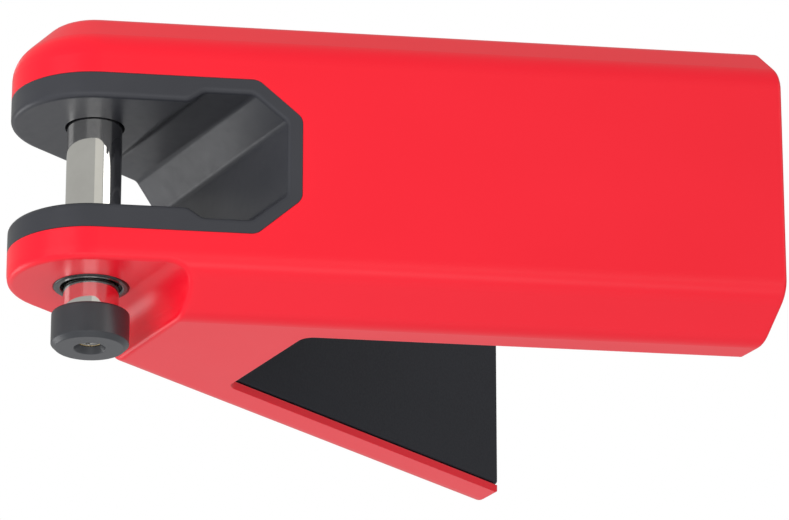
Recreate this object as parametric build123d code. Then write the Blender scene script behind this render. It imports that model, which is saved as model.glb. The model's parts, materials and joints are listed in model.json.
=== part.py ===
from build123d import *
import os
from math import cos, radians, sin, sqrt

# A keyed pin lock with a wedge-shaped body.  The rounded nose carries a padded U slot that is closed
# by a steel pin; two arms run back from the nose and end in one plane.
# Frame: origin on the pin axis at mid height of the slot, +Z up the pin, +X along the slot's channel,
# +Y from the nose towards the arm ends.  Millimetres.

# ---- body envelope ----
NOSE_R = 30.4              # plan radius of the nose, and distance of each outer face from the pin axis
HALF_ANGLE = 21.53          # degrees between an arm and the plane of symmetry
HALF_H = 57.25             # half the height of the body
END_Y = 219.2              # plane of the two arm ends
OUTER_CHAMFER = 15.0       # 45 degree bevel along the outer top and bottom edges
BEVEL_ROUND_SIDE = 13.0    # round between outer face and bevel
BEVEL_ROUND_TOP = 9.0      # round between bevel and top face
SKIN = 3.0                 # wall of the moulded casing
END_ROUND = 1.0            # round on the outer edges of the arm ends

# ---- notch between the arms ----
CROTCH_Y = 70.5
NOTCH_OFFSET = 2.0         # distance of each inner face from a line through the pin axis
NOTCH_ROUND = 6.0
COVER_T = 3.0
COVER_GAP = 0.9            # shadow gap between the inner cover and the casing skins
FRAME_T = 3.0

# ---- slot and its liner ----
THROAT_HALF = 20.25
SEAT_HALF = 24.0
LINER_HALF = 29.7
STEP_Y = (19.0, 24.2)
SEAT_BEVEL = ((40.2, 24.0), (51.4, 13.9))
LINER_BEVEL = ((41.2, LINER_HALF), (56.3, 15.6))
CHANNEL_ROUNDS = (5.0, 4.0, 3.0, 3.0)      # rounds of the channel's corners, throat to back wall
LINER_ROUND = 5.0
LIP_ROUND = 2.0

# ---- pocket under the lower jaw ----
POCKET_FLOOR = -41.3
POCKET_WALL_Y = 22.5
POCKET_ROUND = 10.0
POCKET_RIM = 2.2

# ---- steel jaw core ----
CORE_TOP = 42.0
CORE_BOTTOM = -38.2
CORE_HALF_WIDTH = 33.0
FIT_GAP = 0.15
SOCKET_BOSS_R = 17.0
SOCKET_BOSS_TOP = 48.5
CLEAR = 0.05               # gap between pieces that lie against each other
CORE_BACK = CROTCH_Y - COVER_T - FIT_GAP - FRAME_T - CLEAR
RIB_X = (-14.0, 0.0, 14.0)
RIB_T = 2.4
RIB_FRONT_Y = -8.0
RIB_BACK_Y = CORE_BACK - 2.0

# ---- fasteners and end blocks ----
BOLT_R = 3.0
BOLT_HEAD_R = 5.8
BOLT_REACH = 16.0
BOLT_X = 20.0
BOLT_UPPER_Z = 35.9
BOLT_LOWER_Z = -34.0
FRAME_LOW = NOTCH_OFFSET + COVER_T + FIT_GAP
BOSS_LOW = FRAME_LOW + FRAME_T + CLEAR
BOSS_R = 5.0
BOSS_DISTANCES = (115.0, 190.0)
BOSS_HEIGHTS = (-30.0, 30.0)
INSERT_R = 3.0
INSERT_LENGTH = 8.0
SCREW_R = 2.0
SCREW_HEAD_R = 3.8
SCREW_HEAD_T = 2.0
SCREW_KEY_R = 1.25
SCREW_KEY_DEPTH = 1.4
BOLT_KEY_R = 2.0
BOLT_KEY_DEPTH = 4.0
PEG_R = 2.0
PEG_DISTANCES = (150.0, 215.0)
PEG_HEIGHTS = (-42.0, 0.0, 42.0)
COVER_BEVEL = 0.6
END_BLOCK_T = 14.0
WALL_HOLE_R = 3.4
WALL_HOLE_X = 103.0
WALL_HOLE_Z = 30.0
WALL_HOLE_DEPTH = 12.0

# ---- pin and its guides ----
PIN_R = 10.0
PIN_TIP = 34.0
PIN_TIP_ROUND = 1.6
PIN_END = -62.1
BUSH_BORE_R = 10.05
BUSH_R = 13.8
GROOVE_R = 12.5
GROOVE_Z = (-36.4, -32.6)
COLLAR_R = 13.7
COLLAR_BORE_R = 10.9
COLLAR_BOTTOM = -41.9
COLLAR_ROUND = 0.9
LINER_HOLE_R = 10.8
SOCKET_R = 13.5
SOCKET_BORE_R = 10.06
SOCKET_TOP = 46.8
SOCKET_CAP_T = 2.0
WIPER_Z = 30.65
WIPER_CORD_R = 0.7

# ---- knob ----
KNOB_R = 14.0
KNOB_TOP = -51.5
KNOB_BOTTOM = -64.6
KEY_RECESS_R = 5.8
KEY_FACE_R = 4.5
KEY_RECESS_ROUND = 0.5
KNOB_BEVEL = 1.6
KNOB_BEVEL_ROUND = 0.7
KNOB_TOP_ROUND = 0.8
KNOB_GAP = 0.02

# ---- lock cylinder ----
HOUSING_R = 8.0
HOUSING_GAP = 0.03
ROTOR_R = 5.0
DISC_R = 4.2
DISC_COUNT = 7
DISC_T = 1.0
DISC_PITCH = 1.22
DISC_GAP = 0.03
SPACER_R = 3.25
SPACER_BORE_R = 2.9
SPACER_T = 0.18
DISC_STACK = -60.85        # lower face of the first disc
ROTOR_FACE = -62.0
ROTOR_SHOULDER = -49.3
NECK_R = 3.0
NECK_TOP = -47.0
HOUSING_TOP = -48.1
CLIP_R = 2.5
CLIP_OUTER_R = 4.2
CLIP_MOUTH = 3.2
CLIP_Z = (-48.05, -47.3)
CAM_PLATE_R = 4.0
CAM_CEILING = -46.2        # top of the bore in the pin
HOUSING_PIN_R = 1.0
HOUSING_PIN_Z = -56.0
HOUSING_PIN_BITE = 1.4     # depth in the housing
KEYWAY = (5.4, 2.0)
SIDEBAR_X = (3.4, 4.9)
SIDEBAR_T = 1.2
SIDEBAR_GAP = 0.04
GATE_GAP = 0.1
LUG_STROKE = 2.2
STUB_R = 1.2
STUB_SWEEP_R = 2.95
STUB_GAP = 0.12
STUB_SLOT_LOW = -0.4
LUG_TAIL = 5.0
LUG_GAP = 0.08
LUG_Z = (-45.55, -42.45)
LUG_HALF_WIDTH = 3.0

A = radians(HALF_ANGLE)
FAR = 330.0                # well outside the body
FRONT = -80.0              # well in front of the nose
EMBED = 0.5                # depth by which ribs, posts and pegs grow into their wall
PAST = 1.0                 # length by which a cut runs past a face
TINY = 0.01                # tolerance when edges are picked by their place


def along(side, distance, offset, z=0.0):
    """Point `distance` along an arm and `offset` outwards from its line through the pin axis."""
    x = side * (distance * sin(A) + offset * cos(A))
    y = distance * cos(A) - offset * sin(A)
    return Vector(x, y, z)


def slab(x, y, z):
    """Box given by its low and high limits on each axis."""
    size = (x[1] - x[0], y[1] - y[0], z[1] - z[0])
    return Pos((x[0] + x[1]) / 2, (y[0] + y[1]) / 2, (z[0] + z[1]) / 2) * Box(*size)


def rod(radius, z_low, z_high, x=0.0, y=0.0):
    """Upright cylinder between two heights."""
    return Pos(x, y, (z_low + z_high) / 2) * Cylinder(radius, z_high - z_low)


def ring(outer, inner, z_low, z_high):
    return rod(outer, z_low, z_high) - rod(inner, z_low - 1, z_high + 1)


def side_prism(points, radii):
    """Outline in the YZ plane, open towards the nose, run through the whole width along X."""
    corners = [(0, y, z) for y, z in points]
    path = FilletPolyline(*corners, radius=radii)
    closing = Line(path @ 1, path @ 0)
    face = make_face(Wire([*path.edges(), *closing.edges()]))
    return Pos(-FAR / 2, 0, 0) * extrude(face, FAR, dir=(1, 0, 0))


def wedge(inset=0.0, rounded=False):
    """Body envelope: rounded nose, straight outer faces, bevelled top and bottom edges."""
    radius = NOSE_R - inset
    half = HALF_H - inset
    start = along(1, FAR, radius)
    touch = along(1, 0, radius)
    front = Vector(0, -radius, 0)
    mirror_touch = along(-1, 0, radius)
    finish = along(-1, FAR, radius)
    outline = Wire([
        Line(start, touch),
        ThreePointArc(touch, front, mirror_touch),
        Line(mirror_touch, finish),
        Line(finish, start),
    ])
    solid = Pos(0, 0, -half) * extrude(make_face(outline), 2 * half, dir=(0, 0, 1))
    cut = OUTER_CHAMFER - inset * (2 - sqrt(2))
    solid = chamfer(rim_edges(solid, half, start.Y), cut)
    if rounded:
        solid = fillet(rim_edges(solid, half - cut, start.Y), BEVEL_ROUND_SIDE)
        solid = fillet(rim_edges(solid, half, start.Y - cut), BEVEL_ROUND_TOP)
    return solid


def rim_edges(solid, height, far_y):
    """Edges of the outline at +height and -height, without the straight closing edge."""
    level = [e for e in solid.edges() if abs(abs(e.center().Z) - height) < TINY]
    level = [e for e in level if abs((e @ 0).Z - (e @ 1).Z) < TINY]
    return [e for e in level if e.center().Y < far_y - 20]


def notch(growth=0.0, half=HALF_H + 5):
    """Prism of the space between the arms, grown outwards by `growth`."""
    y = CROTCH_Y - growth
    offset = NOTCH_OFFSET + growth
    reach = (y + offset * sin(A)) / cos(A)
    corner = along(1, reach, offset)
    mouth = along(1, FAR, offset)
    corners = [mouth, corner, Vector(-corner.X, corner.Y, 0), Vector(-mouth.X, mouth.Y, 0)]
    path = FilletPolyline(*corners, radius=NOTCH_ROUND + growth)
    closing = Line(path @ 1, path @ 0)
    face = make_face(Wire([*path.edges(), *closing.edges()]))
    return Pos(0, 0, -half) * extrude(face, 2 * half, dir=(0, 0, 1))


def channel():
    """Open space of the slot: throat, small step, bevelled seat."""
    (bevel_y, bevel_z), (wall_y, wall_z) = SEAT_BEVEL
    upper = [(FRONT, THROAT_HALF), (STEP_Y[0], THROAT_HALF), (STEP_Y[1], SEAT_HALF)]
    upper += [(bevel_y, bevel_z), (wall_y, wall_z)]
    lower = [(y, -z) for y, z in reversed(upper)]
    return side_prism(upper + lower, [*CHANNEL_ROUNDS, *reversed(CHANNEL_ROUNDS)])


def channel_shell(growth=0.0):
    """Outside of the liner."""
    (bevel_y, bevel_z), (wall_y, wall_z) = LINER_BEVEL
    upper = [(FRONT, bevel_z + growth), (bevel_y, bevel_z + growth), (wall_y + growth, wall_z)]
    lower = [(y, -z) for y, z in reversed(upper)]
    return side_prism(upper + lower, LINER_ROUND + growth)


def pocket(growth=0.0):
    """Recess under the lower jaw that takes the knob when the pin is home."""
    wall = POCKET_WALL_Y + growth
    floor = POCKET_FLOOR + growth
    profile = [(FRONT, floor), (wall, floor), (wall, -FAR / 4)]
    corners = [(0, y, z) for y, z in profile]
    path = FilletPolyline(*corners, radius=POCKET_ROUND + growth)
    tail = Polyline(path @ 1, (0, FRONT, -FAR / 4), path @ 0)
    face = make_face(Wire([*path.edges(), *tail.edges()]))
    return Pos(-FAR / 2, 0, 0) * extrude(face, FAR, dir=(1, 0, 0))


def up_to_end(solid):
    """Trim at the plane of the arm ends."""
    return solid & slab((-FAR, FAR), (-100, END_Y), (-100, 100))


def boss_places():
    """Screw bosses along the arms: side, distance along the arm, height."""
    for side in (1, -1):
        for distance in BOSS_DISTANCES:
            for z in BOSS_HEIGHTS:
                yield side, distance, z


def arm_rod(side, distance, z, radius, low, high):
    """Cylinder square to an arm's faces, between two offsets."""
    middle = along(side, distance, (low + high) / 2, z)
    return Pos(*middle) * Rot(0, 0, -side * HALF_ANGLE) * Rot(0, 90, 0) * Cylinder(radius, high - low)


def on_pocket_rim(edge):
    """True for the edges where the pocket meets the outside of the body."""
    middle = edge.center()
    size = edge.bounding_box().size
    inner_line = POCKET_WALL_Y - POCKET_ROUND
    on_floor = abs(middle.Z - POCKET_FLOOR) < TINY and size.Z < TINY
    floor_edge = on_floor and abs(middle.Y - inner_line) > TINY
    on_wall = abs(middle.Y - POCKET_WALL_Y) < TINY and size.Y < TINY
    wall_edge = on_wall and abs(middle.Z - POCKET_FLOOR + POCKET_ROUND) > TINY
    bend_edge = size.Y > 1 and size.Z > 1 and inner_line < middle.Y < POCKET_WALL_Y
    return floor_edge or wall_edge or bend_edge


def envelope_solid():
    """Outside of the casing, before it is hollowed."""
    body = up_to_end(wedge(rounded=True))
    end_edges = [e for e in body.edges() if abs(e.center().Y - END_Y) < TINY]
    body = fillet([e for e in end_edges if abs(e.center().X) > NOSE_R], END_ROUND)
    body -= pocket()
    body = fillet([e for e in body.edges() if on_pocket_rim(e)], POCKET_RIM)
    return body - notch()


# ---- casing and covers ----

def outer_casing():
    """Moulded shell, open on the notch side, with screw bosses and stiffening ribs inside."""
    cavity = wedge(SKIN) - pocket(SKIN)
    shell = envelope_solid() - cavity
    shell += casing_bosses() + casing_ribs()
    shell -= channel_shell()
    shell -= rod(COLLAR_R + CLEAR, POCKET_FLOOR - PAST, POCKET_FLOOR + SKIN + PAST)
    for place in boss_places():
        shell -= arm_rod(*place, INSERT_R, BOSS_LOW - PAST, BOSS_LOW + INSERT_LENGTH)
    return shell


def casing_bosses():
    """Posts from the outer wall to the steel frame."""
    return [arm_rod(*place, BOSS_R, BOSS_LOW, NOSE_R - SKIN + EMBED) for place in boss_places()]


def casing_ribs():
    """Ribs between the casing skins and the jaw core, in the nose."""
    upper = (CORE_TOP + FIT_GAP, HALF_H - SKIN + EMBED)
    lower = (-HALF_H + SKIN - EMBED, CORE_BOTTOM - FIT_GAP)
    ribs = []
    for x in RIB_X:
        width = (x - RIB_T / 2, x + RIB_T / 2)
        ribs.append(slab(width, (RIB_FRONT_Y, RIB_BACK_Y), upper))
        ribs.append(slab(width, (POCKET_WALL_Y + SKIN - EMBED, RIB_BACK_Y), lower))
    boss_space = rod(SOCKET_BOSS_R + 2 * FIT_GAP, CORE_TOP, SOCKET_BOSS_TOP + 2 * FIT_GAP)
    return [rib - boss_space for rib in ribs]


def jaw_liner():
    """Soft U liner: throat lips in front, bevelled seat behind, flush with the casing outside."""
    body = wedge(rounded=True) & (channel_shell(-FIT_GAP) - channel())
    body = fillet([e for e in body.edges() if on_liner_lip(e)], LIP_ROUND)
    return body - rod(LINER_HOLE_R, -LINER_HALF - PAST, LINER_HALF + PAST)


def on_liner_lip(edge):
    """True for the edges between the open channel and the outer side faces."""
    middle = edge @ 0.5
    size = edge.bounding_box().size
    along_channel = size.Y < TINY and size.Z < TINY
    (y_1, z_1), (y_2, z_2) = SEAT_BEVEL
    beyond_bevel = (middle.Y - y_1) * (z_1 - z_2) + (abs(middle.Z) - z_1) * (y_2 - y_1)
    past_bevel = beyond_bevel > 5.0
    inside = middle.Y < y_2 + 0.1 and abs(middle.Z) < SEAT_HALF + 0.1
    return inside and not past_bevel and not along_channel


def inner_cover():
    """Black lining of the notch, between the casing skins, with pegs into the steel frame."""
    half = HALF_H - SKIN - COVER_GAP
    back = NOTCH_OFFSET + COVER_T
    ribbon = up_to_end(notch(COVER_T, half) - notch(0, half + PAST))
    edges = [e for e in ribbon.edges() if is_cover_rim(e, half)]
    ribbon = chamfer(edges, COVER_BEVEL)
    return ribbon + [arm_rod(*place, PEG_R, back - EMBED, back + FRAME_T) for place in peg_places()]


def peg_places():
    """Pegs of the inner cover: side, distance along the arm, height."""
    return [(side, d, z) for side in (1, -1) for d in PEG_DISTANCES for z in PEG_HEIGHTS]


def is_cover_rim(edge, half):
    """Exposed top and bottom edges of the cover, on the notch side."""
    middle = edge @ 0.5
    if abs(abs(middle.Z) - half) > TINY or abs(middle.Y - END_Y) < TINY:
        return False
    offset = abs(middle.X) * cos(A) - middle.Y * sin(A)
    return offset < NOTCH_OFFSET + 0.2 and middle.Y > CROTCH_Y - 0.1


# ---- steel structure ----

def steel_frame():
    """Bent steel strip behind the inner cover: web across the crotch and one flange per arm."""
    low = COVER_T + FIT_GAP
    ribbon = notch(low + FRAME_T) - notch(low)
    ribbon = up_to_end(ribbon) & wedge(SKIN + FIT_GAP)
    for place in boss_places():
        ribbon -= arm_rod(*place, SCREW_R + 0.3, 0, BOSS_LOW + PAST)
        ribbon -= arm_rod(*place, SCREW_HEAD_R + 0.3, 0, FRAME_LOW + SCREW_HEAD_T)
    for place in peg_places():
        ribbon -= arm_rod(*place, PEG_R + 0.1, 0, BOSS_LOW + PAST)
    for x, z in bolt_places():
        ribbon -= bolt_bore(x, z, BOLT_R + 0.2, CORE_BACK - PAST, CROTCH_Y)
        ribbon -= bolt_sink(x, z, 0.1)
    return ribbon


def jaw_core():
    """Steel C round the slot: upper plate with socket boss, spine, lower plate."""
    block = wedge(SKIN + FIT_GAP) - pocket(SKIN + FIT_GAP) - channel_shell(FIT_GAP)
    plates = slab((-CORE_HALF_WIDTH, CORE_HALF_WIDTH), (FRONT, CORE_BACK), (CORE_BOTTOM, CORE_TOP))
    core = (block & plates) + rod(SOCKET_BOSS_R, CORE_TOP - EMBED, SOCKET_BOSS_TOP)
    core -= rod(SOCKET_R, 0, SOCKET_TOP)
    core -= rod(BUSH_R, CORE_BOTTOM - PAST, 0)
    for x, z in bolt_places():
        core -= bolt_bore(x, z, BOLT_R, CORE_BACK - BOLT_REACH, CORE_BACK + PAST)
    return core


def bolt_places():
    """Bolts from the frame web into the edges of the two core plates."""
    return [(x, z) for x in (-BOLT_X, BOLT_X) for z in (BOLT_UPPER_Z, BOLT_LOWER_Z)]


def bolt_bore(x, z, radius, y_low, y_high):
    middle = (y_low + y_high) / 2
    return Pos(x, middle, z) * Rot(90, 0, 0) * Cylinder(radius, y_high - y_low)


def bolt_sink(x, z, gap):
    """Countersink for a bolt head, wide end on the notch side."""
    face_y = CROTCH_Y - COVER_T - FIT_GAP
    depth = BOLT_HEAD_R - BOLT_R
    return Pos(x, face_y - depth / 2, z) * Rot(-90, 0, 0) * Cone(BOLT_R + gap, BOLT_HEAD_R + gap, depth)


def core_bolts():
    """Countersunk hexagon socket bolts between frame and core."""
    face_y = CROTCH_Y - COVER_T - FIT_GAP
    depth = BOLT_HEAD_R - BOLT_R
    bolts = []
    for x, z in bolt_places():
        shank = bolt_bore(x, z, BOLT_R, CORE_BACK - BOLT_REACH + PAST, face_y - depth)
        socket = extrude(RegularPolygon(BOLT_KEY_R, 6), BOLT_KEY_DEPTH, both=True)
        key = Pos(x, face_y, z) * Rot(90, 0, 0) * socket
        bolts.append(shank + bolt_sink(x, z, 0.0) - key)
    return Compound(children=bolts)


def end_block(side):
    """Steel block that closes an arm, with two tapped holes in its end face."""
    block = wedge(SKIN + FIT_GAP) - notch(COVER_T + FIT_GAP + FRAME_T + CLEAR)
    block &= slab((0, FAR), (END_Y - END_BLOCK_T, END_Y), (-HALF_H, HALF_H))
    for z in (-WALL_HOLE_Z, WALL_HOLE_Z):
        block -= bolt_bore(WALL_HOLE_X, z, WALL_HOLE_R, END_Y - WALL_HOLE_DEPTH, END_Y + PAST)
    return block if side > 0 else block.mirror(Plane.YZ)


def frame_screws():
    """Socket head screws from the frame into the casing bosses."""
    screws = []
    for place in boss_places():
        head_top = FRAME_LOW + SCREW_HEAD_T
        head = arm_rod(*place, SCREW_HEAD_R, FRAME_LOW + 0.2, head_top)
        shank = arm_rod(*place, SCREW_R, head_top - 0.2, BOSS_LOW + INSERT_LENGTH - PAST)
        key = arm_rod(*place, SCREW_KEY_R, FRAME_LOW - PAST, FRAME_LOW + SCREW_KEY_DEPTH)
        screws.append(head + shank - key)
    return Compound(children=screws)


def boss_inserts():
    """Threaded brass inserts in the casing bosses."""
    inserts = []
    for place in boss_places():
        sleeve = arm_rod(*place, INSERT_R, BOSS_LOW, BOSS_LOW + INSERT_LENGTH)
        thread = arm_rod(*place, SCREW_R, BOSS_LOW - PAST, BOSS_LOW + INSERT_LENGTH + PAST)
        inserts.append(sleeve - thread)
    return Compound(children=inserts)


# ---- pin guides ----

def upper_socket():
    """Hardened blind bush that receives the tip of the pin."""
    body = rod(SOCKET_R, LINER_HALF + FIT_GAP, SOCKET_TOP)
    return body - rod(SOCKET_BORE_R, 0, SOCKET_TOP - SOCKET_CAP_T)


def lower_bush():
    """Guide bush in the lower plate, with the locking groove and a seat for the wiper ring."""
    body = rod(BUSH_R, CORE_BOTTOM, -LINER_HALF - FIT_GAP) - rod(BUSH_BORE_R, CORE_BOTTOM - PAST, 0)
    wiper_seat = rod(PIN_R + 2 * WIPER_CORD_R + FIT_GAP, -WIPER_Z - WIPER_CORD_R - CLEAR, 0)
    return body - rod(GROOVE_R, *GROOVE_Z) - wiper_seat


def wiper_ring():
    """Rubber ring between liner and bush that drags on the pin and keeps it where it is left."""
    return Pos(0, 0, -WIPER_Z) * Torus(PIN_R + WIPER_CORD_R + 0.03, WIPER_CORD_R)


def pin_collar():
    """Rubber collar in the pocket floor."""
    body = ring(COLLAR_R, COLLAR_BORE_R, COLLAR_BOTTOM, CORE_BOTTOM - CLEAR)
    return fillet(round_edges(body)[0], COLLAR_ROUND)


def round_edges(solid):
    """Circular edges in groups of equal height, lowest group first."""
    return solid.edges().filter_by(GeomType.CIRCLE).group_by(Axis.Z)


# ---- pin, knob and lock cylinder ----

def lock_pin():
    """Round steel pin, bored from below for the cylinder, with a window for the locking lug."""
    body = rod(PIN_R, PIN_END, PIN_TIP)
    body = fillet(round_edges(body)[-1], PIN_TIP_ROUND)
    body -= rod(HOUSING_R + HOUSING_GAP, PIN_END - PAST, CAM_CEILING)
    body -= rod(STUB_SWEEP_R, CAM_CEILING - PAST, LUG_Z[0])
    half_width = LUG_HALF_WIDTH + LUG_GAP
    body -= slab((-PIN_R - PAST, LUG_TAIL + LUG_GAP), (-half_width, half_width),
                 (LUG_Z[0] - LUG_GAP, LUG_Z[1] + LUG_GAP))
    return body - cross_hole()


def cross_hole():
    """Hole through pin wall and cylinder housing for the housing pin, hidden inside the knob."""
    length = 2 * (PIN_R - HOUSING_R) + PAST
    return Pos(0, HOUSING_R, HOUSING_PIN_Z) * Rot(90, 0, 0) * Cylinder(HOUSING_PIN_R, length)


def knob():
    """Cap on the lower end of the pin, with a key recess in its face."""
    body = rod(KNOB_R, KNOB_BOTTOM, KNOB_TOP)
    body = chamfer(round_edges(body)[0], KNOB_BEVEL)
    body = fillet(round_edges(body)[:2], KNOB_BEVEL_ROUND)
    body = fillet(round_edges(body)[-1], KNOB_TOP_ROUND)
    body -= rod(PIN_R + KNOB_GAP, PIN_END - KNOB_GAP, KNOB_TOP + PAST)
    recess = Cone(KEY_RECESS_R, KEY_FACE_R, PIN_END - KNOB_BOTTOM)
    body -= Pos(0, 0, (KNOB_BOTTOM + PIN_END) / 2) * recess
    mouth = round_edges(body)[0].sort_by(SortBy.RADIUS)[0]
    return fillet(mouth, KEY_RECESS_ROUND)


def cylinder_housing():
    """Body of the lock cylinder, fixed in the pin."""
    body = rod(HOUSING_R, PIN_END + CLEAR, HOUSING_TOP)
    body -= rod(ROTOR_R + CLEAR, PIN_END - PAST, ROTOR_SHOULDER)
    body -= rod(NECK_R + CLEAR, ROTOR_SHOULDER - PAST, HOUSING_TOP + PAST)
    return body - cross_hole()


def housing_pin():
    """Roll pin that holds the housing in the pin; the knob covers it."""
    length = HOUSING_PIN_BITE + PIN_R - HOUSING_R
    middle = PIN_R - CLEAR - length / 2
    return Pos(0, middle, HOUSING_PIN_Z) * Rot(90, 0, 0) * Cylinder(HOUSING_PIN_R, length)


def keyway(z_low, z_high):
    """Flat key slot through the discs."""
    return slab((-KEYWAY[0] / 2, KEYWAY[0] / 2), (-KEYWAY[1] / 2, KEYWAY[1] / 2), (z_low, z_high))


def key_rotor():
    """Turning barrel that holds the discs, with a neck through the housing."""
    body = rod(ROTOR_R, ROTOR_FACE, ROTOR_SHOULDER - CLEAR)
    body -= rod(DISC_R + DISC_GAP, ROTOR_FACE - PAST, disc_z(DISC_COUNT) + CLEAR)
    body -= sidebar_space()
    neck = rod(NECK_R, ROTOR_SHOULDER - EMBED, NECK_TOP) - ring(NECK_R + PAST, CLIP_R, *CLIP_Z)
    return body + neck


def sidebar_space():
    """Slot along the rotor for the sidebar."""
    depth = (SIDEBAR_X[0] - SIDEBAR_GAP, SIDEBAR_X[1] + SIDEBAR_GAP)
    half_width = SIDEBAR_T / 2 + SIDEBAR_GAP
    height = (disc_z(0) - SIDEBAR_GAP, disc_z(DISC_COUNT) - SPACER_T)
    return slab(depth, (-half_width, half_width), height)


def disc_z(index):
    """Lower face of a disc in the stack."""
    return DISC_STACK + index * DISC_PITCH


def lock_disc(index):
    """One detainer disc with key slot and sidebar gate."""
    low = disc_z(index)
    cut = (low - PAST, low + DISC_T + PAST)
    half_width = SIDEBAR_T / 2 + GATE_GAP
    gate = slab((SIDEBAR_X[0] - GATE_GAP, DISC_R + PAST), (-half_width, half_width), cut)
    return rod(DISC_R, low, low + DISC_T) - keyway(*cut) - gate


def lock_discs():
    return Compound(children=[lock_disc(index) for index in range(DISC_COUNT)])


def disc_spacers():
    """Thin washers between the discs."""
    washers = []
    for index in range(DISC_COUNT - 1):
        low = disc_z(index) + DISC_T + 0.02
        washers.append(ring(SPACER_R, SPACER_BORE_R, low, low + SPACER_T))
    return Compound(children=washers)


def sidebar():
    """Bar that drops into the disc gates and frees the rotor."""
    height = (disc_z(0), disc_z(DISC_COUNT) - SPACER_T - CLEAR)
    return slab(SIDEBAR_X, (-SIDEBAR_T / 2, SIDEBAR_T / 2), height)


def entry_disc():
    """Hardened front disc with the key slot, seen at the bottom of the knob's recess."""
    disc = rod(DISC_R, ROTOR_FACE, DISC_STACK - 0.02)
    disc = chamfer(round_edges(disc)[0], 0.25)
    return disc - keyway(ROTOR_FACE - PAST, DISC_STACK + PAST)


def rotor_clip():
    """Open retaining ring on the rotor's neck."""
    clip = ring(CLIP_OUTER_R, CLIP_R + 0.02, CLIP_Z[0] + CLEAR, CLIP_Z[1] - CLEAR)
    return clip - slab((0, PIN_R), (-CLIP_MOUTH / 2, CLIP_MOUTH / 2), CLIP_Z)


def drive_cam():
    """Disc with an eccentric stub that moves the locking lug."""
    plate = rod(CAM_PLATE_R, NECK_TOP + 0.02, CAM_CEILING - FIT_GAP)
    stub = rod(STUB_R, CAM_CEILING - EMBED, LUG_Z[1] - 0.1, LUG_STROKE / 2, LUG_STROKE / 2)
    return plate + stub


def locking_lug():
    """Sliding lug; its cross slot takes the eccentric stub, its round end enters the bush groove."""
    bar = slab((-PIN_R, LUG_TAIL), (-LUG_HALF_WIDTH, LUG_HALF_WIDTH), LUG_Z)
    bar &= rod(PIN_R - 0.1, *LUG_Z)
    centre = LUG_STROKE / 2
    reach = STUB_R + STUB_GAP
    height = (LUG_Z[0] - PAST, LUG_Z[1] + PAST)
    return bar - slab((centre - reach, centre + reach), (STUB_SLOT_LOW, LUG_HALF_WIDTH + PAST), height)


def write(name, shape):
    solid = Compound(children=list(shape)) if isinstance(shape, (list, ShapeList)) else shape
    export_step(solid, f"parts/{name}.step")


def main():
    os.makedirs("parts", exist_ok=True)
    pieces = {
        "outer_casing": outer_casing(),
        "jaw_liner": jaw_liner(),
        "inner_cover": inner_cover(),
        "steel_frame": steel_frame(),
        "jaw_core": jaw_core(),
        "end_block_right": end_block(1),
        "end_block_left": end_block(-1),
        "core_bolts": core_bolts(),
        "frame_screws": frame_screws(),
        "boss_inserts": boss_inserts(),
        "upper_socket": upper_socket(),
        "lower_bush": lower_bush(),
        "wiper_ring": wiper_ring(),
        "pin_collar": pin_collar(),
        "lock_pin": lock_pin(),
        "knob": knob(),
        "cylinder_housing": cylinder_housing(),
        "housing_pin": housing_pin(),
        "key_rotor": key_rotor(),
        "lock_discs": lock_discs(),
        "disc_spacers": disc_spacers(),
        "sidebar": sidebar(),
        "entry_disc": entry_disc(),
        "rotor_clip": rotor_clip(),
        "drive_cam": drive_cam(),
        "locking_lug": locking_lug(),
    }
    for name, shape in pieces.items():
        write(name, shape)


if __name__ == "__main__":
    main()
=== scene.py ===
import json
import math

import bpy
from mathutils import Matrix, Vector


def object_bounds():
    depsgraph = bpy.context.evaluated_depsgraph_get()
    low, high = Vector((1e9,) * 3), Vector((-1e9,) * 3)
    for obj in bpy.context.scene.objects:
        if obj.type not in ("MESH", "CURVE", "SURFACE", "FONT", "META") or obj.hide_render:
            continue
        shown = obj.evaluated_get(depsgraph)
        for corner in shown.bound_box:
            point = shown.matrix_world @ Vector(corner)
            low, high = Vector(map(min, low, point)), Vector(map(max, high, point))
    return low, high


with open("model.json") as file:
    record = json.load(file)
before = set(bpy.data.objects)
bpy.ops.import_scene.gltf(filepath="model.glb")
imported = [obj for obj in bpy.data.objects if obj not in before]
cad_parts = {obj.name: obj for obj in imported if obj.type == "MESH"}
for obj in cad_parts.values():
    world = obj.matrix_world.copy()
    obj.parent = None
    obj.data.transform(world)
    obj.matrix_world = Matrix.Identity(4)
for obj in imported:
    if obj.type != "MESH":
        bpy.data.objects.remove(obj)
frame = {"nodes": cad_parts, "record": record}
cad_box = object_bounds()

# ---- camera: seen from below the nose, from the right, through a long lens ----
AZIMUTH = 60.96            # degrees round from the nose
ELEVATION = -21.15         # degrees, below the object
DISTANCE = 1.7394          # metres to the plane of the pin axis
AIM_RIGHT = 0.1084         # the pin axis stands this far left of the middle of the view
AIM_DOWN = 0.0287          # and the slot's middle this far above it
LENS = 220.2
SENSOR = 36.0

# ---- surroundings ----
FLOOR_Z = -3.2             # the camera looks up from below, so the floor is far down
FLOOR_SIZE = 60.0
FLOOR_GLOW = 0.24          # light that the floor gives off by itself
AMBIENT = (0.60, 0.60, 0.61)     # what matte surfaces gather from the room
MIRRORED = (0.44, 0.44, 0.42)   # what glossy ones show of it
BACKDROP = (1.0, 1.0, 1.0)


def direction(azimuth, elevation):
    """Unit vector from the object; azimuth counts from the nose towards +X, in degrees."""
    a, e = math.radians(azimuth), math.radians(elevation)
    return Vector((math.sin(a) * math.cos(e), -math.cos(a) * math.cos(e), math.sin(e)))


# ---- node helpers ----

NOISE_ROUGHNESS = 0.55      # how strongly a grain's finer octaves show
NOISE_LOW = 0.3             # a grain is spread from this value
NOISE_HIGH = 0.7            # to this one
BEVEL_SAMPLES = 6

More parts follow.
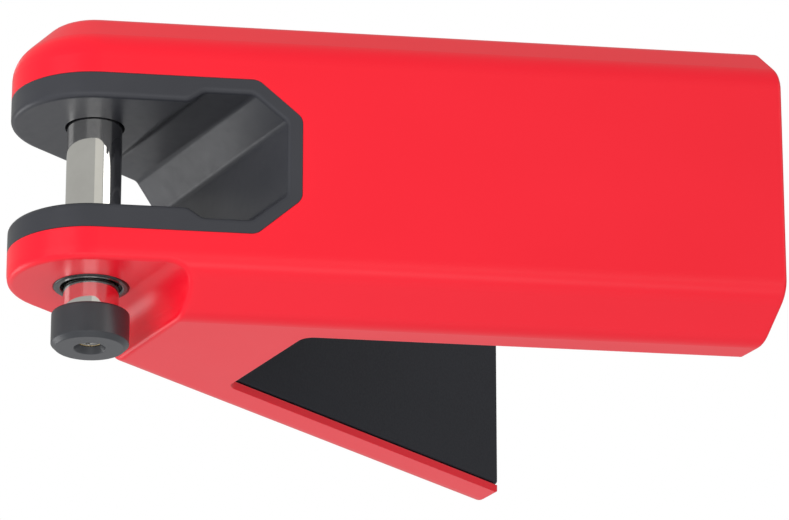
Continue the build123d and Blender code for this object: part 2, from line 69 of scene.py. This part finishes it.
class Graph:
    """A Principled material that is built node by node in the object's own coordinates, in metres."""

    def __init__(self, name, **values):
        self.material = bpy.data.materials.new(name)
        self.material.use_nodes = True
        self.tree = self.material.node_tree
        self.shader = self.tree.nodes["Principled BSDF"]
        self.place = self.add("ShaderNodeTexCoord").outputs["Object"]
        for key, value in values.items():
            self.shader.inputs[key.replace("_", " ")].default_value = value

    def add(self, kind, **values):
        """New node; a value that is a socket is linked, any other is set."""
        node = self.tree.nodes.new(kind)
        for key, value in values.items():
            socket = node.inputs[key.replace("_", " ")]
            if isinstance(value, bpy.types.NodeSocket):
                self.tree.links.new(value, socket)
            else:
                socket.default_value = value
        return node

    def link(self, output, name):
        self.tree.links.new(output, self.shader.inputs[name])

    def grain(self, size, detail=3.0, stretch=(1.0, 1.0, 1.0)):
        """Noise from 0 to 1 whose features are `size` metres across, drawn out along each axis."""
        scale = [1.0 / (size * s) for s in stretch]
        mapping = self.add("ShaderNodeMapping", Vector=self.place, Scale=scale)
        node = self.add("ShaderNodeTexNoise", Vector=mapping.outputs["Vector"], Scale=1.0,
                        Detail=detail, Roughness=NOISE_ROUGHNESS)
        return node.outputs["Fac"]

    def spread(self, value, low, high):
        """Maps a grain to the range low to high."""
        node = self.add("ShaderNodeMapRange", Value=value, From_Min=NOISE_LOW, From_Max=NOISE_HIGH,
                        To_Min=low, To_Max=high)
        return node.outputs["Result"]

    def colours(self, value, low, high):
        """Base colour between two near shades."""
        node = self.add("ShaderNodeMix", Factor=self.spread(value, 0.0, 1.0))
        node.data_type = "RGBA"
        node.inputs[6].default_value = (*low, 1.0)
        node.inputs[7].default_value = (*high, 1.0)
        self.link(node.outputs[2], "Base Color")

    def roughness(self, value, low, high):
        self.link(self.spread(value, low, high), "Roughness")

    def relief(self, heights, edge=0.0):
        """Bumps, each a (value, depth in metres) pair, over edges that are rounded by `edge` metres."""
        normal = None
        if edge:
            node = self.add("ShaderNodeBevel", Radius=edge)
            node.samples = BEVEL_SAMPLES
            normal = node.outputs["Normal"]
        for value, depth in heights:
            node = self.add("ShaderNodeBump", Height=value, Distance=depth, Strength=1.0)
            if normal is not None:
                self.tree.links.new(normal, node.inputs["Normal"])
            normal = node.outputs["Normal"]
        self.link(normal, "Normal")


# ---- materials, one for each slot of the record ----

def red_casing():
    """Satin injection-moulded shell in one red, with the faint grain of a moulded skin."""
    g = Graph("red_casing", Specular_IOR_Level=0.37)
    flow = g.grain(0.045, 2.0, (1.0, 2.2, 1.0))
    skin = g.grain(0.0011, 4.0)
    g.colours(flow, (0.885, 0.0058, 0.0225), (0.905, 0.0066, 0.0245))
    g.roughness(g.grain(0.030, 2.0), 0.285, 0.315)
    g.relief([(flow, 0.000008), (skin, 0.0000015)], edge=0.0006)
    return g.material


def grey_liner():
    """Dark grey elastomer with a fine moulded grain."""
    g = Graph("grey_liner", Specular_IOR_Level=0.32)
    cloud = g.grain(0.03, 3.0)
    skin = g.grain(0.0006, 4.0)
    g.colours(cloud, (0.0370, 0.0385, 0.0455), (0.0425, 0.0440, 0.0515))
    g.roughness(g.grain(0.004, 4.0), 0.30, 0.37)
    g.relief([(cloud, 0.000010), (skin, 0.000005)], edge=0.0004)
    return g.material


def black_cover():
    """Near-black matte lining with a pebbled grain."""
    g = Graph("black_cover", Specular_IOR_Level=0.4)
    cloud = g.grain(0.05, 3.0)
    pebble = g.grain(0.0008, 3.0)
    g.colours(cloud, (0.0100, 0.0112, 0.0180), (0.0120, 0.0134, 0.0210))
    g.roughness(pebble, 0.56, 0.68)
    g.relief([(pebble, 0.00003)], edge=0.0003)
    return g.material


def black_rubber():
    """Glossy black rubber of the collar."""
    g = Graph("black_rubber", Specular_IOR_Level=0.5)
    cloud = g.grain(0.004, 3.0)
    g.colours(cloud, (0.0120, 0.0150, 0.0150), (0.0180, 0.0220, 0.0215))
    g.roughness(cloud, 0.20, 0.30)
    g.relief([(g.grain(0.0005, 3.0), 0.000004)])
    return g.material


def knob_grey():
    """Dark grey satin moulding of the knob, with faint turning marks round it."""
    g = Graph("knob_grey", Specular_IOR_Level=0.5)
    cloud = g.grain(0.012, 3.0)
    turned = g.grain(0.0004, 2.0, (60.0, 60.0, 1.0))
    g.colours(cloud, (0.0300, 0.0325, 0.0375), (0.0360, 0.0385, 0.0440))
    g.roughness(cloud, 0.30, 0.36)
    g.relief([(turned, 0.000003)], edge=0.0002)
    return g.material


def chrome_pin():
    """Polished chrome plate with the finest of grinding marks round the bar."""
    g = Graph("chrome_pin", Metallic=1.0)
    ground = g.grain(0.0003, 2.0, (80.0, 80.0, 1.0))
    haze = g.grain(0.010, 4.0)
    g.colours(haze, (0.80, 0.79, 0.77), (0.86, 0.85, 0.83))
    g.roughness(haze, 0.025, 0.055)
    g.relief([(ground, 0.0000004)])
    return g.material


def bare_metal(name, low, high, rough, stretch):
    """Machined metal with its grain drawn out along the cut."""
    g = Graph(name, Metallic=1.0)
    cut = g.grain(0.0003, 3.0, stretch)
    g.colours(g.grain(0.006, 4.0), low, high)
    g.roughness(cut, rough - 0.05, rough + 0.07)
    g.relief([(cut, 0.000003)], edge=0.0002)
    return g.material


def coated_metal(name, low, high, rough):
    """Thin dark coating over steel, with a light orange peel."""
    g = Graph(name, Specular_IOR_Level=0.5)
    peel = g.grain(0.0015, 3.0)
    g.colours(g.grain(0.02, 4.0), low, high)
    g.roughness(peel, rough - 0.05, rough + 0.06)
    g.relief([(peel, 0.00001)], edge=0.0003)
    return g.material


def zinc_steel():
    """Zinc plated steel with the soft cloudiness of the bath."""
    return bare_metal("zinc_steel", (0.52, 0.53, 0.55), (0.66, 0.66, 0.66), 0.32, (1.0, 1.0, 12.0))


def hardened_steel():
    return bare_metal("hardened_steel", (0.44, 0.44, 0.45), (0.55, 0.55, 0.55), 0.27, (40.0, 40.0, 1.0))


def brass():
    return bare_metal("brass", (0.70, 0.52, 0.25), (0.80, 0.62, 0.32), 0.24, (40.0, 40.0, 1.0))


def key_face():
    return bare_metal("key_face", (0.88, 0.86, 0.80), (0.94, 0.92, 0.88), 0.34, (1.0, 30.0, 1.0))


def black_steel():
    return coated_metal("black_steel", (0.018, 0.018, 0.019), (0.028, 0.028, 0.029), 0.42)


def black_bolt():
    return coated_metal("black_bolt", (0.014, 0.014, 0.015), (0.022, 0.022, 0.024), 0.36)


SURFACES = (red_casing, grey_liner, black_cover, black_steel, zinc_steel, black_bolt, hardened_steel,
            brass, black_rubber, chrome_pin, knob_grey, key_face)


def dress_nodes():
    """Gives every CAD node the material of its slot."""
    made = {build.__name__: build() for build in SURFACES}
    for part in frame["record"]["subparts"]:
        node = frame["nodes"][part["node"]]
        node.data.materials.clear()
        node.data.materials.append(made[part["material_slot"]])


# ---- studio ----

def make_floor():
    """Pale floor, far below, because the object is seen from underneath."""
    half = FLOOR_SIZE / 2
    mesh = bpy.data.meshes.new("floor")
    corners = [(-half, -half, FLOOR_Z), (half, -half, FLOOR_Z), (half, half, FLOOR_Z), (-half, half, FLOOR_Z)]
    mesh.from_pydata(corners, [], [(0, 1, 2, 3)])
    floor = bpy.data.objects.new("floor", mesh)
    bpy.context.scene.collection.objects.link(floor)
    g = Graph("floor_paint", Specular_IOR_Level=0.2, Emission_Strength=FLOOR_GLOW)
    g.shader.inputs["Emission Color"].default_value = (0.96, 0.98, 1.0, 1.0)
    g.colours(g.grain(0.8, 3.0), (0.80, 0.80, 0.795), (0.83, 0.83, 0.825))
    g.roughness(g.grain(0.2, 3.0), 0.75, 0.85)
    floor.data.materials.append(g.material)


def make_world():
    """Even grey room light, dimmer in reflections; the camera itself sees plain white."""
    world = bpy.data.worlds.new("studio")
    bpy.context.scene.world = world
    world.use_nodes = True
    nodes, links = world.node_tree.nodes, world.node_tree.links
    ray = nodes.new("ShaderNodeLightPath")

    def blend(factor, first, second):
        mix = nodes.new("ShaderNodeMixShader")
        links.new(ray.outputs[factor], mix.inputs["Fac"])
        links.new(first.outputs[0], mix.inputs[1])
        links.new(second.outputs[0], mix.inputs[2])
        return mix

    def plain(colour):
        background = nodes.new("ShaderNodeBackground")
        background.inputs["Color"].default_value = (*colour, 1.0)
        return background

    room = blend("Is Glossy Ray", plain(AMBIENT), plain(MIRRORED))
    seen = blend("Is Camera Ray", room, plain(BACKDROP))
    links.new(seen.outputs[0], nodes["World Output"].inputs["Surface"])


def softbox(name, azimuth, elevation, distance, width, height, radiance, tint=(1.0, 1.0, 1.0), matte=True,
            mirrored=True):
    """Rectangular light that faces the object; radiance is what a mirror would show of it.

    With matte or mirrored off, matte surfaces or reflections do not receive it.
    """
    light = bpy.data.lights.new(name, "AREA")
    light.shape = "RECTANGLE"
    light.size, light.size_y = width, height
    light.energy = radiance * math.pi * width * height
    light.color = tint
    box = bpy.data.objects.new(name, light)
    centre = (cad_box[0] + cad_box[1]) / 2
    towards = direction(azimuth, elevation)
    box.location = centre + towards * distance
    box.rotation_euler = towards.to_track_quat("Z", "Y").to_euler()
    box.visible_camera = False
    box.visible_diffuse = matte
    box.visible_glossy = mirrored
    bpy.context.scene.collection.objects.link(box)


def make_lights():
    softbox("key", AZIMUTH - 40.0, 4.0, 0.80, 0.50, 0.50, 4.0, mirrored=False)
    softbox("under", AZIMUTH + 10.0, -66.0, 1.5, 1.20, 1.20, 0.24)
    softbox("glint", AZIMUTH - 150.0, 30.0, 1.5, 0.16, 0.16, 1.2)
    softbox("side_strip", AZIMUTH + 57.0, 22.0, 1.7, 0.90, 0.80, 1.5, (1.0, 0.99, 0.97), matte=False)
    softbox("front_panel", AZIMUTH + 21.5, 12.0, 2.6, 1.45, 2.30, 0.21, (1.0, 0.96, 0.84))
    softbox("front_line", AZIMUTH + 18.0, 0.0, 2.4, 1.20, 0.50, 0.9)
    softbox("top", AZIMUTH + 172.0, 67.0, 1.8, 0.90, 0.90, 0.30, mirrored=False)
    softbox("low_left", AZIMUTH - 114.0, -25.0, 1.7, 1.00, 0.70, 2.3)
    softbox("low_front", AZIMUTH - 4.0, -25.0, 2.0, 1.90, 0.30, 2.2)


def make_camera():
    towards = direction(AZIMUTH, ELEVATION)
    right = (-towards).cross(Vector((0.0, 0.0, 1.0))).normalized()
    up = right.cross(-towards)
    data = bpy.data.cameras.new("camera")
    data.lens = LENS
    data.sensor_width = SENSOR
    data.clip_end = 2 * FLOOR_SIZE
    camera = bpy.data.objects.new("camera", data)
    turn = Matrix((right, up, towards)).transposed()
    aim = right * AIM_RIGHT - up * AIM_DOWN
    camera.matrix_world = Matrix.Translation(aim + towards * DISTANCE) @ turn.to_4x4()
    bpy.context.scene.collection.objects.link(camera)
    bpy.context.scene.camera = camera


dress_nodes()
make_floor()
make_world()
make_lights()
make_camera()
bpy.context.scene.view_settings.view_transform = "Standard"
